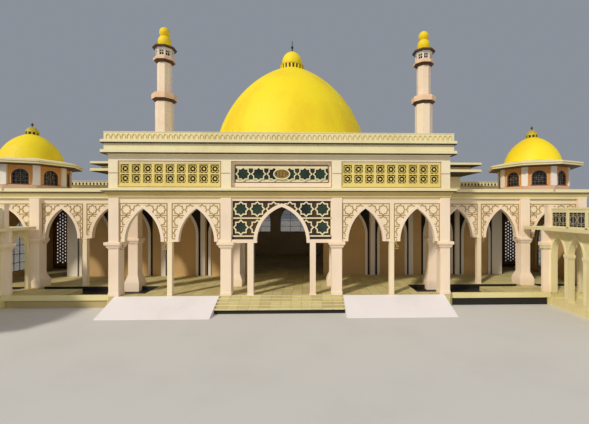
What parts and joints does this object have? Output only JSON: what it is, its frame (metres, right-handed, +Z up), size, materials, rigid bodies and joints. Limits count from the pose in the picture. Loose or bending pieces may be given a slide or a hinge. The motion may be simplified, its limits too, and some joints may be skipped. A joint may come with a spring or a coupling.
{
  "type": "mosque building, 1:2 scale model",
  "caption": "Modern mosque: arcaded entrance block with porch, domed prayer hall, twin minarets, wings with domed kiosks and forward colonnades; half-size model.",
  "frame": {"origin": "on the ground, under the main dome's axis", "axes": "+Z up, the entrance faces -Y, +X to the right of a visitor facing the entrance"},
  "size_m": [32.2, 21.07, 20.2],
  "materials": {
    "plaster": "smooth rendered wall, matt",
    "trim": "painted cornice render, matt",
    "carved_panel": "carved relief render, matt",
    "paving": "honed sand-coloured stone",
    "ramp_stone": "smooth pale stone",
    "lattice": "cast pierced lattice, yellow paint",
    "star_screen": "dark frame with tinted glass behind pale straps",
    "dome_yellow": "bright yellow painted sheet, satin",
    "tan_wall": "tan rendered wall, matt"
  },
  "bodies": {
    "root": {"podium": "paving", "entrance_steps": "paving", "entrance_ramp_right": "ramp_stone", "entrance_ramp_left": "ramp_stone", "inner_pier_right": "plaster", "inner_pier_left": "plaster", "outer_pier_right": "plaster", "outer_pier_left": "plaster", "entrance_arches_right": "carved_panel", "entrance_arches_left": "carved_panel", "centre_star_screen": "star_screen", "porch_roof_slab": "trim", "upper_front_wall": "plaster", "upper_lattice_right": "lattice", "upper_lattice_left": "lattice", "upper_centre_panel": "star_screen", "main_roof": "trim", "inner_beam_right": "plaster", "inner_beam_left": "plaster", "hall_front_wall": "tan_wall", "hall_side_wall_right": "plaster", "hall_side_wall_left": "plaster", "hall_rear_wall": "plaster", "upper_walls": "plaster", "side_roof_right": "trim", "side_roof_left": "trim", "dome_drum": "plaster", "main_dome": "dome_yellow", "dome_lantern": "dome_yellow", "minaret_shaft_right": "plaster", "minaret_shaft_left": "plaster", "minaret_lantern_right": "plaster", "minaret_lantern_left": "plaster", "minaret_finial_right": "dome_yellow", "minaret_finial_left": "dome_yellow", "wing_front_right": "carved_panel", "wing_front_left": "carved_panel", "wing_rear_wall_right": "tan_wall", "wing_rear_wall_left": "tan_wall", "wing_roof_right": "trim", "wing_roof_left": "trim", "kiosk_drum_right": "plaster", "kiosk_drum_left": "plaster", "kiosk_eave_right": "trim", "kiosk_eave_left": "trim", "kiosk_dome_right": "dome_yellow", "kiosk_dome_left": "dome_yellow", "colonnade_base_right": "paving", "colonnade_base_left": "paving", "colonnade_inner_row_right": "plaster", "colonnade_inner_row_left": "plaster", "colonnade_outer_row_right": "plaster", "colonnade_outer_row_left": "plaster", "colonnade_roof_right": "trim", "colonnade_roof_left": "trim", "side_range_walls_right": "plaster", "side_range_walls_left": "plaster", "side_range_roof_right": "trim", "side_range_roof_left": "trim"}
  },
  "joints": []
}
